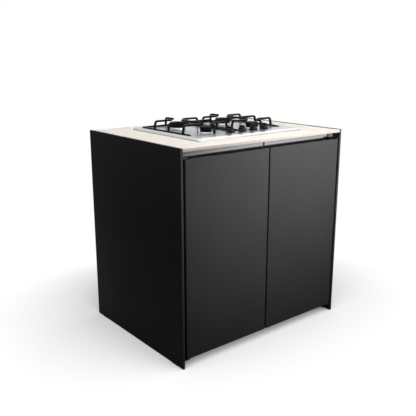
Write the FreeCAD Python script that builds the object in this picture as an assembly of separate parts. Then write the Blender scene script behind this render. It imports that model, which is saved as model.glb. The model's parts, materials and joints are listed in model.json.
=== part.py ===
import FreeCAD
import Part
import math
import os

V = FreeCAD.Vector
UP = V(0, 0, 1)

# Module as a whole, in millimetres. The front faces -Y and the floor is Z = 0.
module_width = 918.0
module_depth = 696.0
worktop_height = 900.0
worktop_thickness = 12.0
side_panel_thickness = 10.0
side_panel_rise = 2.0

# Carcass
carcass_thickness = 18.0
door_rear_gap = 8.0
carcass_back_inset = 18.0
carcass_floor_gap = 40.0
back_panel_thickness = 8.0
rail_height = 50.0
rail_thickness = 18.0

# Vent slots and hose hole
vent_slot_width = 8.0
vent_slot_length = 70.0
vent_slot_pitch = 24.0
vent_slot_count = 8
vent_slot_edge = 60.0
hose_hole_radius = 22.0
hose_hole_x = 200.0
hose_hole_height = 190.0
grommet_wall = 4.0
grommet_lip = 5.0
grommet_lip_thickness = 3.0

# Glides under the side panels
glide_height = 3.0
glide_width = 8.0
glide_length = 40.0
glide_end_inset = 40.0

# Doors
door_thickness = 18.0
door_side_gap = 11.5
door_centre_gap = 8.5
grip_gap = 30.0
door_edge_round = 1.0

# Pivot hinges
pivot_inset = 7.0
pivot_pin_radius = 3.0
pivot_pin_depth = 14.0
pivot_gap = 1.0
pivot_end_play = 0.3
pin_hole_spare = 0.5
bush_wall = 2.0
bush_flange = 1.8
bracket_thickness = 3.0
bracket_edge = 8.0
bracket_front_inset = 1.0
bracket_top_gap = 3.0
bracket_plate_reach = 45.0
running_clearance = 0.05

# Magnet catches and strike plates
catch_offset = 40.0
catch_width = 34.0
catch_height = 13.0
catch_depth = 28.0
strike_thickness = 1.5
strike_margin = 2.0
strike_gap = 0.3

# Grip channel
channel_depth = 12.0
channel_wall = 1.5
channel_height = 42.0
channel_round = 8.0
channel_split = 7.0
end_cap_thickness = 1.5

# Screws
screw_radius = 2.0
screw_head_radius = 4.0
screw_head_height = 2.4
panel_screw_bite = 7.0
bracket_screw_bite = 14.0
screw_row_inset = 60.0
screw_clearance = 0.1

# Hob tray
hob_width = 590.0
hob_depth = 500.0
hob_corner = 10.0
hob_sheet = 1.2
rim_edge = 3.5
rim_flange = 10.0
bevel_width = 14.0
bevel_height = 7.0
ridge_width = 4.0
field_slope = 4.0
field_sink = 5.0
field_corner = 12.0
front_strip = 92.0

# Seal, worktop cut-out, underbox and clamps
seal_thickness = 1.5
seal_inset = 1.0
seal_width = 8.5
seal_corner = 2.0
cutout_overlap_x = 15.0
cutout_overlap_y = 10.0
cutout_corner = 6.0
underbox_wall = 1.0
underbox_floor_gap = 6.0
underbox_gap = 6.0
clamp_thickness = 2.0
clamp_width = 20.0
clamp_drop = 30.0
clamp_bite = 15.0
clamp_offset = 120.0
clamp_screw_drop = 18.0

# Burners: centres from the edges of the field, and radii of the crowns
burner_shift = 1.5
rear_burner_inset = 113.0
front_burner_inset = 63.0
rear_burner_radius = 35.0
front_left_radius = 25.0
front_right_radius = 28.0
cup_neck_inset = 12.0
cup_block_height = 22.0
cup_bore_radius = 7.0
base_ring_height = 6.0
base_ring_overhang = 3.0
crown_height = 12.0
crown_wall = 8.0
port_width = 2.0
port_height = 4.0
port_pitch = 9.0
cap_height = 12.0
cap_overhang = 1.5
cap_spigot = 3.0
cap_round = 4.0
cap_bevel = 1.4
hole_clearance = 0.2

# Spark electrodes and thermocouples
probe_radius = 2.4
probe_tip_radius = 1.0
probe_height = 10.0
probe_tip_height = 19.0
probe_drop = 14.0
probe_collar_radius = 4.5
probe_collar_height = 2.0
probe_offset = 12.0
electrode_angle = 162.0
thermocouple_angle = 18.0

# Knobs, spindles and valves
knob_pitch = 65.0
knob_row_inset = 40.0
knob_travel = 3.0
knob_air = 0.5
bezel_height = 2.0
bezel_radius = 16.0
bezel_bore = 9.0
seal_ring_bore_gap = 0.4
knob_radius = 19.5
knob_skirt = 4.0
knob_base_radius = 17.0
knob_top_radius = 14.0
knob_height = 26.5
grip_height = 8.0
grip_width = 9.0
knob_hollow_radius = 11.0
knob_hollow_depth = 3.0
spindle_radius = 3.0
spindle_engage = 12.0
spindle_collar_radius = 4.7
spindle_collar_height = 1.5
collar_play = 0.3
plunger_radius = 5.0
plunger_length = 15.5
spindle_recess = 1.0
valve_neck_radius = 9.0
valve_neck_height = 17.0
valve_width = 22.0
valve_depth = 30.0
valve_height = 26.0
spindle_hole_radius = 6.5

# Gas line
manifold_size = 14.0
manifold_wall_gap = 15.0
manifold_overrun = 14.0
inlet_wall_gap = 34.0
inlet_thread_radius = 10.48
inlet_thread_length = 18.0
inlet_hex_radius = 15.0
inlet_hex_height = 6.0
inlet_neck_radius = 5.5
feed_tube_radius = 4.0
feed_tube_bend = 14.0
feed_tube_rise = 12.0
feed_straight = 30.0
ignition_length = 60.0
ignition_depth = 34.0
ignition_height = 26.0
ignition_wall_gap = 27.0

# Pan supports
support_bar = 8.0
finger_bar = 9.0
support_foot_height = 1.0
support_foot_length = 18.0
support_clearance = 5.5
support_side_gap = 7.0
support_centre_gap = 17.0
support_rear_gap = 15.0
support_cross_shift = -3.0
support_front_gap = 3.0
tie_width = 6.0
tie_height = 2.5
bar_nose = 13.0
finger_lean = 7.0
rear_finger_lean = 1.0
front_finger_shift = 4.0
finger_bend = 11.0
finger_tip = 33.0

# Places worked out from the sizes above
half_width = module_width / 2
front_y = -module_depth / 2
back_y = module_depth / 2
panel_inner = half_width - side_panel_thickness
carcass_inner = panel_inner - carcass_thickness
carcass_front = front_y + door_thickness + door_rear_gap
carcass_back = back_y - carcass_back_inset
base_top = carcass_floor_gap + carcass_thickness
slab_bottom = worktop_height - worktop_thickness
panel_top = worktop_height + side_panel_rise
rail_bottom = slab_bottom - rail_height
back_panel_front = carcass_back - back_panel_thickness

door_back = front_y + door_thickness
door_bottom = carcass_floor_gap + pivot_gap
door_top = slab_bottom - grip_gap
door_outer = panel_inner - door_side_gap
door_inner = door_centre_gap / 2
pivot_x = door_outer - pivot_inset
pivot_y = front_y + door_thickness / 2

channel_back = carcass_front + channel_depth
channel_bottom = slab_bottom - channel_height
rail_front = channel_back + channel_wall

rim_bottom = worktop_height + seal_thickness
bevel_bottom = rim_bottom + rim_edge
rim_top = bevel_bottom + bevel_height
field_z = rim_top - field_sink
field_under = field_z - hob_sheet
strip_under = rim_top - hob_sheet
base_ring_top = field_z + base_ring_height
crown_top = base_ring_top + crown_height
cap_top = crown_top + cap_height
cutout_width = hob_width - 2 * cutout_overlap_x
cutout_depth = hob_depth - 2 * cutout_overlap_y

knob_bottom = rim_top + bezel_height + knob_travel + knob_air
plunger_top = strip_under - spindle_collar_height - 2 * collar_play
plunger_bottom = plunger_top - plunger_length
valve_top = strip_under - valve_neck_height
valve_bottom = valve_top - valve_height
feed_z = valve_bottom + feed_tube_rise
spindle_bottom = plunger_bottom + spindle_recess
cup_bottom = feed_z - cup_block_height / 2
manifold_bottom = valve_bottom - manifold_size
underbox_floor = manifold_bottom - underbox_floor_gap
underbox_bottom = underbox_floor - underbox_wall

bar_bottom = field_z + support_foot_height
bar_top = bar_bottom + support_bar
finger_z = cap_top + support_clearance + finger_bar / 2

field_half = hob_width / 2 - bevel_width - ridge_width - field_slope
field_rear = hob_depth / 2 - bevel_width - ridge_width - field_slope
field_front = -hob_depth / 2 + front_strip + field_slope
knob_row_y = -hob_depth / 2 + knob_row_inset
burner_x = field_half / 2 - burner_shift
rear_burner_y = field_rear - rear_burner_inset
front_burner_y = field_front + front_burner_inset

underbox_half = field_half - underbox_gap
underbox_front = -cutout_depth / 2 + underbox_gap
underbox_rear = field_rear - underbox_gap
manifold_x = underbox_half - manifold_wall_gap - manifold_size / 2
inlet_y = underbox_rear - inlet_wall_gap
ignition_y = underbox_rear - ignition_wall_gap - ignition_depth / 2

support_left_reach = field_half - support_side_gap - support_bar / 2 - burner_x
support_right_reach = 2 * burner_x - support_left_reach - support_bar - support_centre_gap
support_rear_y = field_rear - support_rear_gap - support_bar / 2
support_cross_y = (rear_burner_y + front_burner_y) / 2 + support_cross_shift

SIDES = (("left", -1), ("right", 1))
BURNERS = (
    ("rear_left", -burner_x, rear_burner_y, rear_burner_radius),
    ("rear_right", burner_x, rear_burner_y, rear_burner_radius),
    ("front_left", -burner_x, front_burner_y, front_left_radius),
    ("front_right", burner_x, front_burner_y, front_right_radius),
)
KNOB_XS = [knob_pitch * (i - (len(BURNERS) - 1) / 2) for i in range(len(BURNERS))]


# Basic solids

def box(x0, x1, y0, y1, z0, z1):
    return Part.makeBox(x1 - x0, y1 - y0, z1 - z0, V(x0, y0, z0))


def side_box(side, x_in, x_out, y0, y1, z0, z1):
    low, high = sorted((side * x_in, side * x_out))
    return box(low, high, y0, y1, z0, z1)


def post(radius, x, y, z0, z1):
    return Part.makeCylinder(radius, z1 - z0, V(x, y, z0), UP)


def ring(outer, inner, x, y, z0, z1):
    return post(outer, x, y, z0, z1).cut(post(inner, x, y, z0, z1))


def union(shapes):
    return shapes[0].fuse(shapes[1:]).removeSplitter()


def group(shapes):
    return Part.makeCompound(shapes)


def turned(outline, x, y):
    # Solid of revolution about a vertical axis from radius and height pairs.
    points = [V(x + radius, y, z) for radius, z in outline]
    face = Part.Face(Part.makePolygon(points + points[:1]))
    return face.revolve(V(x, y, 0), UP, 360)


def rounded_rectangle(half_x, y_low, y_high, radius, z):
    cut = radius * (1 - math.sqrt(0.5))
    corners = ((1, y_low, 1), (1, y_high, -1), (-1, y_high, -1), (-1, y_low, 1))
    ends = []
    arcs = []
    for i, (sx, y, sy) in enumerate(corners):
        along_x = V(sx * (half_x - radius), y, z)
        along_y = V(sx * half_x, y + sy * radius, z)
        middle = V(sx * (half_x - cut), y + sy * cut, z)
        first, last = (along_x, along_y) if i % 2 == 0 else (along_y, along_x)
        arcs.append(Part.Arc(first, middle, last).toShape())
        ends.append((first, last))
    edges = []
    for i, arc in enumerate(arcs):
        edges.append(arc)
        edges.append(Part.makeLine(ends[i][1], ends[(i + 1) % 4][0]))
    return Part.Wire(edges)


def rounded_block(lower, upper):
    return Part.makeLoft([rounded_rectangle(*lower), rounded_rectangle(*upper)], True, True)


def rounded_prism(half_x, y_low, y_high, radius, z0, z1):
    wire = rounded_rectangle(half_x, y_low, y_high, radius, z0)
    return Part.Face(wire).extrude(V(0, 0, z1 - z0))


def bent_path(points, bend):
    # Straight runs joined by arcs of one radius.
    edges = []
    start = points[0]
    for before, corner, after in zip(points, points[1:], points[2:]):
        coming = (corner - before).normalize()
        going = (after - corner).normalize()
        half_turn = coming.getAngle(going) / 2
        reach = bend * math.tan(half_turn)
        first = corner - coming * reach
        last = corner + going * reach
        inward = (going - coming).normalize()
        middle = corner + inward * (bend / math.cos(half_turn) - bend)
        edges.append(Part.makeLine(start, first))
        edges.append(Part.Arc(first, middle, last).toShape())
        start = last
    edges.append(Part.makeLine(start, points[-1]))
    return Part.Wire(edges)


def bent_bar(points, bend, size):
    # Square bar whose bends lie in one upright plane.
    along = (points[1] - points[0]).normalize()
    flat = (points[-1] - points[0]).cross(UP).normalize() * (size / 2)
    across = flat.cross(along).normalize() * (size / 2)
    corners = [points[0] + flat * i + across * j for i, j in ((1, 1), (-1, 1), (-1, -1), (1, -1))]
    profile = Part.makePolygon(corners + corners[:1])
    return bent_path(points, bend).makePipeShell([profile], True, False)


def bent_tube(points, bend, radius):
    along = points[1] - points[0]
    profile = Part.Wire(Part.makeCircle(radius, points[0], along))
    return bent_path(points, bend).makePipeShell([profile], True, False)


def screw(seat, inward, length):
    # Round head on the seat, shank pointing inward.
    shank = Part.makeCylinder(screw_radius, length, seat, inward)
    head = Part.makeCylinder(screw_head_radius, screw_head_height, seat, inward * -1)
    return union([shank, head])


def screw_hole(seat, inward, length):
    return Part.makeCylinder(screw_radius + screw_clearance, length + screw_clearance, seat, inward)


# Cabinet

def panel_screw_seats(side):
    rows_y = (carcass_front + screw_row_inset, carcass_back - screw_row_inset)
    rows_z = (base_top + screw_row_inset, rail_bottom - screw_row_inset)
    return [V(side * carcass_inner, y, z) for y in rows_y for z in rows_z]


def upper_bracket_seat(side):
    x = side * (carcass_inner + carcass_thickness / 2)
    tongue_top = door_top + pivot_gap + bracket_thickness
    tab_top = slab_bottom - bracket_top_gap
    return V(x, carcass_front - bracket_thickness, (tongue_top + tab_top) / 2)


def lower_bracket_seat(side):
    x = side * (carcass_inner + carcass_thickness / 2)
    return V(x, carcass_front + bracket_plate_reach / 2, carcass_floor_gap - bracket_thickness)


def screw_list():
    # Seat, direction and length of every screw in the cabinet.
    found = []
    for name, side in SIDES:
        outward = V(side, 0, 0)
        for seat in panel_screw_seats(side):
            found.append((seat, outward, carcass_thickness + panel_screw_bite))
        found.append((upper_bracket_seat(side), V(0, 1, 0), bracket_thickness + bracket_screw_bite))
        found.append((lower_bracket_seat(side), UP, bracket_thickness + bracket_screw_bite))
        for seat in clamp_screw_seats(side):
            found.append((seat, outward * -1, clamp_thickness + underbox_wall + panel_screw_bite))
    return found


def drilled(shape, screws):
    holes = [screw_hole(*item) for item in screws]
    return shape.cut([hole for hole in holes if hole.BoundBox.intersect(shape.BoundBox)])


def vent_slots(y0, y1, z_low, along_z):
    # Row of rounded slots, upright in the back panel and lengthways in the base.
    slots = []
    radius = vent_slot_width / 2
    for i in range(vent_slot_count):
        x = vent_slot_pitch * (i - (vent_slot_count - 1) / 2)
        if along_z:
            low, high = z_low + radius, z_low + vent_slot_length - radius
            slots.append(box(x - radius, x + radius, y0, y1, low, high))
            for z in (low, high):
                slots.append(Part.makeCylinder(radius, y1 - y0, V(x, y0, z), V(0, 1, 0)))
        else:
            low, high = y0 + radius, y1 - radius
            slots.append(box(x - radius, x + radius, low, high, z_low, z_low + carcass_thickness))
            for y in (low, high):
                slots.append(post(radius, x, y, z_low, z_low + carcass_thickness))
    return slots


def side_panel(side):
    panel = side_box(side, panel_inner, half_width, front_y, back_y, glide_height, panel_top)
    return drilled(panel, screw_list())


def carcass_side(side):
    board = side_box(side, carcass_inner, panel_inner, carcass_front, carcass_back,
                     carcass_floor_gap, slab_bottom)
    return drilled(board, screw_list())


def base_panel():
    board = box(-carcass_inner, carcass_inner, carcass_front, carcass_back, carcass_floor_gap, base_top)
    slots = []
    for y0 in (carcass_front + vent_slot_edge, back_panel_front - vent_slot_edge - vent_slot_length):
        slots += vent_slots(y0, y0 + vent_slot_length, carcass_floor_gap, False)
    return board.cut(slots)


def back_panel():
    board = box(-carcass_inner, carcass_inner, back_panel_front, carcass_back, base_top, slab_bottom)
    cuts = vent_slots(back_panel_front, carcass_back, base_top + vent_slot_edge, True)
    cuts += vent_slots(back_panel_front, carcass_back, rail_bottom - vent_slot_edge - vent_slot_length, True)
    hole = Part.makeCylinder(hose_hole_radius, back_panel_thickness,
                             V(hose_hole_x, back_panel_front, hose_hole_height), V(0, 1, 0))
    return board.cut(cuts + [hole])


def hose_grommet():
    # Rubber ring that grips the back panel between two lips.
    reach = V(0, 1, 0)
    centre = V(hose_hole_x, back_panel_front, hose_hole_height)
    lip_radius = hose_hole_radius + grommet_lip
    body = Part.makeCylinder(hose_hole_radius, back_panel_thickness, centre, reach)
    front_lip = Part.makeCylinder(lip_radius, grommet_lip_thickness,
                                  centre - reach * grommet_lip_thickness, reach)
    rear_lip = Part.makeCylinder(lip_radius, grommet_lip_thickness,
                                 centre + reach * back_panel_thickness, reach)
    length = back_panel_thickness + 2 * grommet_lip_thickness
    bore = Part.makeCylinder(hose_hole_radius - grommet_wall, length,
                             centre - reach * grommet_lip_thickness, reach)
    return union([body, front_lip, rear_lip]).cut(bore)


def front_rail():
    return box(-carcass_inner, carcass_inner, rail_front, rail_front + rail_thickness, rail_bottom, slab_bottom)


def rear_rail():
    return box(-carcass_inner, carcass_inner, back_panel_front - rail_thickness, back_panel_front,
               rail_bottom, slab_bottom)


def worktop():
    slab = box(-panel_inner, panel_inner, front_y, back_y, slab_bottom, worktop_height)
    cut = rounded_prism(cutout_width / 2, -cutout_depth / 2, cutout_depth / 2, cutout_corner,
                        slab_bottom, worktop_height)
    return slab.cut(cut)


def panel_glides():
    centre_x = half_width - side_panel_thickness / 2
    glides = []
    for name, side in SIDES:
        for y0 in (front_y + glide_end_inset, back_y - glide_end_inset - glide_length):
            glides.append(side_box(side, centre_x - glide_width / 2, centre_x + glide_width / 2,
                                   y0, y0 + glide_length, 0, glide_height))
    return group(glides)


# Grip channel behind the door tops

def channel_outline(inset):
    # Section of the channel in the YZ plane, rounded at the lower back corner.
    back = rail_front - inset
    low = channel_bottom + inset
    high = slab_bottom - inset
    bend = channel_round + channel_wall - inset
    spare = bend * (1 - math.sqrt(0.5))
    start = V(0, carcass_front, low)
    flat_end = V(0, back - bend, low)
    middle = V(0, back - spare, low + spare)
    wall_start = V(0, back, low + bend)
    wall_end = V(0, back, high)
    finish = V(0, carcass_front, high)
    edges = [
        Part.makeLine(start, flat_end),
        Part.Arc(flat_end, middle, wall_start).toShape(),
        Part.makeLine(wall_start, wall_end),
        Part.makeLine(wall_end, finish),
        Part.makeLine(finish, start),
    ]
    return Part.Face(Part.Wire(edges))


def channel_slice(inset, side, x_in, x_out):
    low = min(side * x_in, side * x_out)
    face = channel_outline(inset)
    face.translate(V(low, 0, 0))
    return face.extrude(V(x_out - x_in, 0, 0))


def grip_channel(side):
    x_in = channel_split / 2
    x_out = carcass_inner - end_cap_thickness
    outer = channel_slice(0, side, x_in, x_out)
    return outer.cut(channel_slice(channel_wall, side, x_in, x_out))


def channel_end_caps():
    # One cap at the outer end of each length.
    x_in = carcass_inner - end_cap_thickness
    return group([channel_slice(0, side, x_in, carcass_inner) for name, side in SIDES])


# Doors and their hinges

def door(side):
    leaf = side_box(side, door_inner, door_outer, front_y, door_back, door_bottom, door_top)
    upright = [edge for edge in leaf.Edges if abs(edge.BoundBox.ZLength - (door_top - door_bottom)) < 0.1]
    leaf = leaf.makeFillet(door_edge_round, upright)
    hole_radius = pivot_pin_radius + running_clearance
    depth = pivot_pin_depth + pin_hole_spare
    holes = [
        post(hole_radius, side * pivot_x, pivot_y, door_bottom, door_bottom + depth),
        post(hole_radius, side * pivot_x, pivot_y, door_top - depth, door_top),
    ]
    return leaf.cut(holes)


def door_pins(side):
    x = side * pivot_x
    reach = pivot_gap + bracket_thickness - pivot_end_play
    lower = post(pivot_pin_radius, x, pivot_y, door_bottom - reach, door_bottom + pivot_pin_depth)
    upper = post(pivot_pin_radius, x, pivot_y, door_top - pivot_pin_depth, door_top + reach)
    return group([lower, upper])


def hinge_brackets():
    brackets = []
    hole_radius = pivot_pin_radius + bush_wall + running_clearance
    for name, side in SIDES:
        x_in = pivot_x - bracket_edge
        tongue_front = front_y + bracket_front_inset
        z0 = door_top + pivot_gap
        z1 = z0 + bracket_thickness
        tongue = side_box(side, x_in, panel_inner, tongue_front, carcass_front - bracket_thickness, z0, z1)
        tab = side_box(side, carcass_inner, panel_inner, carcass_front - bracket_thickness, carcass_front,
                       z0, slab_bottom - bracket_top_gap)
        upper = union([tongue, tab]).cut(post(hole_radius, side * pivot_x, pivot_y, z0, z1))
        z1 = door_bottom - pivot_gap
        z0 = z1 - bracket_thickness
        plate = side_box(side, x_in, panel_inner, tongue_front, carcass_front + bracket_plate_reach, z0, z1)
        lower = plate.cut(post(hole_radius, side * pivot_x, pivot_y, z0, z1))
        brackets += [drilled(upper, screw_list()), drilled(lower, screw_list())]
    return group(brackets)


def hinge_bushes():
    # Flanged bush in each bracket, flange towards the door.
    bushes = []
    outer = pivot_pin_radius + bush_wall
    bore = pivot_pin_radius + running_clearance
    flange = pivot_gap - pivot_end_play
    for name, side in SIDES:
        x = side * pivot_x
        z = door_top + pivot_gap
        upper = union([post(outer, x, pivot_y, z, z + bracket_thickness),
                       post(outer + bush_flange, x, pivot_y, z - flange, z)])
        bushes.append(upper.cut(post(bore, x, pivot_y, z - flange, z + bracket_thickness)))
        z = door_bottom - pivot_gap
        lower = union([post(outer, x, pivot_y, z - bracket_thickness, z),
                       post(outer + bush_flange, x, pivot_y, z, z + flange)])
        bushes.append(lower.cut(post(bore, x, pivot_y, z - bracket_thickness, z + flange)))
    return group(bushes)


def magnet_catches():
    y0 = door_back + strike_thickness + strike_gap
    return group([side_box(side, catch_offset - catch_width / 2, catch_offset + catch_width / 2,
                           y0, y0 + catch_depth, base_top, base_top + catch_height) for name, side in SIDES])


def strike_plate(side):
    half = catch_width / 2 - strike_margin
    return side_box(side, catch_offset - half, catch_offset + half, door_back, door_back + strike_thickness,
                    base_top + strike_margin, base_top + catch_height - strike_margin)


# Hob tray and what hangs from it

def field_block(outset):
    # The recessed field as a solid block, grown outwards and downwards by the sheet.
    run = field_slope / field_sink
    spread = outset * math.hypot(1, run)
    low_growth = spread - outset * run
    low = (field_half + low_growth, field_front - low_growth, field_rear + low_growth, field_corner,
           field_z - outset)
    high_growth = field_slope + spread
    high = (field_half + high_growth, field_front - high_growth, field_rear + high_growth, field_corner, rim_top)
    return rounded_block(low, high)


def rim_block(half_x, half_y, corner, z0, shoulder, half_step, z1):
    # Upright edge with a bevelled top.
    edge = rounded_prism(half_x, -half_y, half_y, corner, z0, shoulder)
    bevel = rounded_block((half_x, -half_y, half_y, corner, shoulder),
                          (half_x - half_step, -half_y + half_step, half_y - half_step, corner, z1))
    return edge.fuse(bevel)


def hob_tray():
    half_x = hob_width / 2
    half_y = hob_depth / 2
    rise = bevel_height / bevel_width
    drop = hob_sheet * math.hypot(1, rise)
    outer = rim_block(half_x, half_y, hob_corner, rim_bottom, bevel_bottom, bevel_width, rim_top)
    inner_step = (strip_under - bevel_bottom + drop) / rise - hob_sheet
    inner = rim_block(half_x - hob_sheet, half_y - hob_sheet, hob_corner - hob_sheet, rim_bottom + hob_sheet,
                      bevel_bottom + rise * hob_sheet - drop, inner_step, strip_under)
    mouth = rounded_prism(half_x - rim_flange, rim_flange - half_y, half_y - rim_flange, hob_corner,
                          rim_bottom, rim_bottom + hob_sheet)
    shell = outer.cut(field_block(0)).cut(inner.cut(field_block(hob_sheet))).cut(mouth)
    holes = [post(radius - cup_neck_inset + hole_clearance, x, y, field_under, field_z)
             for name, x, y, radius in BURNERS]
    for place in probe_places(electrode_angle) + probe_places(thermocouple_angle):
        holes.append(post(probe_radius + hole_clearance, place.x, place.y, field_under, field_z))
    for x in KNOB_XS:
        holes.append(post(spindle_hole_radius, x, knob_row_y, strip_under, rim_top))
    return shell.cut(holes).removeSplitter()


def hob_seal():
    half_x = hob_width / 2 - seal_inset
    half_y = hob_depth / 2 - seal_inset
    outer = rounded_prism(half_x, -half_y, half_y, hob_corner - seal_inset, worktop_height, rim_bottom)
    inner = rounded_prism(half_x - seal_width, seal_width - half_y, half_y - seal_width, seal_corner,
                          worktop_height, rim_bottom)
    return outer.cut(inner)


def clamp_screw_seats(side):
    x = side * (underbox_half + clamp_thickness)
    z = slab_bottom - clamp_screw_drop
    return [V(x, y, z) for y in (-clamp_offset, clamp_offset)]


def hob_underbox():
    shell = box(-underbox_half, underbox_half, underbox_front, underbox_rear, underbox_bottom, strip_under)
    inside = box(underbox_wall - underbox_half, underbox_half - underbox_wall, underbox_front + underbox_wall,
                 underbox_rear - underbox_wall, underbox_floor, strip_under)
    inlet_hole = post(inlet_neck_radius + hole_clearance, manifold_x, inlet_y, underbox_bottom, underbox_floor)
    pan = shell.cut([inside, field_block(hob_sheet), inlet_hole])
    return drilled(pan, screw_list())


def hob_clamps():
    # Angle pieces that pull the hob down on the underside of the slab.
    clamps = []
    foot_end = cutout_width / 2 + clamp_bite
    for name, side in SIDES:
        for y in (-clamp_offset, clamp_offset):
            y0 = y - clamp_width / 2
            y1 = y + clamp_width / 2
            plate = side_box(side, underbox_half, underbox_half + clamp_thickness, y0, y1,
                             slab_bottom - clamp_drop, slab_bottom)
            foot = side_box(side, underbox_half, foot_end, y0, y1, slab_bottom - clamp_thickness, slab_bottom)
            clamps.append(drilled(union([plate, foot]), screw_list()))
    return group(clamps)


# Burners

def burner_cup(x, y, radius):
    half = radius - cup_neck_inset
    block_top = cup_bottom + cup_block_height
    block = box(x - half, x + half, y - half, y + half, cup_bottom, block_top)
    neck = post(half, x, y, block_top, field_z)
    base_ring = post(radius + base_ring_overhang, x, y, field_z, base_ring_top)
    bore = post(cup_bore_radius, x, y, cup_bottom, base_ring_top)
    return union([block, neck, base_ring]).cut(bore)


def flame_ring(x, y, radius):
    crown = ring(radius, radius - crown_wall, x, y, base_ring_top, crown_top)
    count = 2 * int(math.pi * radius / port_pitch)
    ports = []
    for i in range(count // 2):
        port = box(x - radius, x + radius, y - port_width / 2, y + port_width / 2,
                   crown_top - port_height, crown_top)
        port.rotate(V(x, y, 0), UP, 360.0 * i / count)
        ports.append(port)
    return crown.cut(ports)


def burner_cap(x, y, radius):
    outer = radius + cap_overhang
    spigot = radius - crown_wall - hole_clearance
    outline = [
        (0, crown_top - cap_spigot),
        (spigot, crown_top - cap_spigot),
        (spigot, crown_top),
        (outer, crown_top),
        (outer, cap_top - cap_round),
        (outer - cap_bevel, cap_top - cap_bevel),
        (outer - cap_round, cap_top),
        (0, cap_top),
    ]
    return turned(outline, x, y)


def probe_places(angle):
    turn = math.radians(angle)
    places = []
    for name, x, y, radius in BURNERS:
        reach = radius + probe_offset
        places.append(V(x + reach * math.cos(turn), y + reach * math.sin(turn), field_z))
    return places


def probes(angle):
    # Stem through the tray, held by a collar under it, with a thin tip on top.
    made = []
    for place in probe_places(angle):
        collar_bottom = field_under - probe_collar_height
        outline = [
            (0, field_z - probe_drop),
            (probe_radius, field_z - probe_drop),
            (probe_radius, collar_bottom),
            (probe_collar_radius, collar_bottom),
            (probe_collar_radius, field_under),
            (probe_radius, field_under),
            (probe_radius, field_z + probe_height),
            (probe_tip_radius, field_z + probe_height),
            (probe_tip_radius, field_z + probe_tip_height),
            (0, field_z + probe_tip_height),
        ]
        made.append(turned(outline, place.x, place.y))
    return group(made)


# Knobs and gas line

def knob_bezels():
    return group([ring(bezel_radius, bezel_bore, x, knob_row_y, rim_top, rim_top + bezel_height) for x in KNOB_XS])


def knob_seals():
    bore = spindle_radius + seal_ring_bore_gap
    return group([ring(bezel_bore, bore, x, knob_row_y, rim_top, rim_top + bezel_height) for x in KNOB_XS])


def knob(x):
    shoulder = knob_bottom + knob_skirt
    top = knob_bottom + knob_height - grip_height
    outline = [
        (0, knob_bottom + knob_hollow_depth),
        (knob_hollow_radius, knob_bottom + knob_hollow_depth),
        (knob_hollow_radius, knob_bottom),
        (knob_radius, knob_bottom),
        (knob_radius, shoulder),
        (knob_base_radius, shoulder),
        (knob_top_radius, top),
        (0, top),
    ]
    body = turned(outline, x, knob_row_y)
    blade = box(x - grip_width / 2, x + grip_width / 2, knob_row_y - knob_top_radius,
                knob_row_y + knob_top_radius, top - grip_height / 2, knob_bottom + knob_height)
    column = post(knob_top_radius, x, knob_row_y, top - grip_height / 2, knob_bottom + knob_height)
    bore = post(spindle_radius + running_clearance, x, knob_row_y, knob_bottom,
                knob_bottom + spindle_engage + hole_clearance)
    return union([body, blade.common(column)]).cut(bore)


def knob_spindle(x):
    collar_bottom = plunger_top + collar_play
    stem = post(spindle_radius, x, knob_row_y, spindle_bottom, knob_bottom + spindle_engage)
    collar = post(spindle_collar_radius, x, knob_row_y, collar_bottom, collar_bottom + spindle_collar_height)
    return union([stem, collar])


def valve_plunger(x):
    return ring(plunger_radius, spindle_radius + running_clearance, x, knob_row_y, plunger_bottom, plunger_top)


def gas_valves():
    valves = []
    for x in KNOB_XS:
        body = box(x - valve_width / 2, x + valve_width / 2, knob_row_y - valve_depth / 2,
                   knob_row_y + valve_depth / 2, valve_bottom, valve_top)
        neck = post(valve_neck_radius, x, knob_row_y, valve_top, strip_under)
        bore = post(plunger_radius + running_clearance, x, knob_row_y,
                    plunger_bottom - knob_travel - knob_air, strip_under)
        valves.append(union([body, neck]).cut(bore))
    return group(valves)


def gas_manifold():
    half = manifold_size / 2
    row = box(KNOB_XS[0] - manifold_overrun, manifold_x + half, knob_row_y - half, knob_row_y + half,
              manifold_bottom, valve_bottom)
    branch = box(manifold_x - half, manifold_x + half, knob_row_y - half, inlet_y + manifold_size,
                 manifold_bottom, valve_bottom)
    return union([row, branch])


def gas_inlet():
    # Threaded stub below the underbox, with a hexagon against its floor.
    hex_bottom = underbox_bottom - inlet_hex_height
    neck = post(inlet_neck_radius, manifold_x, inlet_y, underbox_bottom, manifold_bottom)
    corners = [V(manifold_x + inlet_hex_radius * math.cos(math.radians(60 * i)),
                 inlet_y + inlet_hex_radius * math.sin(math.radians(60 * i)), hex_bottom) for i in range(6)]
    hexagon = Part.Face(Part.makePolygon(corners + corners[:1])).extrude(V(0, 0, inlet_hex_height))
    thread = post(inlet_thread_radius, manifold_x, inlet_y, hex_bottom - inlet_thread_length, hex_bottom)
    return union([neck, hexagon, thread])


def feed_tubes():
    # Each valve feeds the burner nearest to its end of the row, with no crossings.
    start_y = knob_row_y + valve_depth / 2
    outer_x = abs(KNOB_XS[0])
    inner_x = abs(KNOB_XS[1])
    tubes = []
    for name, x, y, radius in BURNERS:
        side = math.copysign(1, x)
        face = radius - cup_neck_inset
        if y == front_burner_y:
            start = V(side * outer_x, start_y, feed_z)
            end = V(x, y - face, feed_z)
            points = [start, start + V(0, feed_straight, 0), end - V(0, feed_straight, 0), end]
        else:
            start = V(side * inner_x, start_y, feed_z)
            points = [start, V(start.x, y, feed_z), V(x - side * face, y, feed_z)]
        tubes.append(bent_tube(points, feed_tube_bend, feed_tube_radius))
    return group(tubes)


def ignition_box():
    return box(-ignition_length / 2, ignition_length / 2, ignition_y - ignition_depth / 2,
               ignition_y + ignition_depth / 2, underbox_floor, underbox_floor + ignition_height)


# Pan supports

def support_bars(centre_x):
    # Left edge, right edge, rear and front limits of the base frame.
    left = centre_x - support_left_reach
    right = centre_x + support_right_reach
    return left, right, support_rear_y, field_front + support_front_gap


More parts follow.
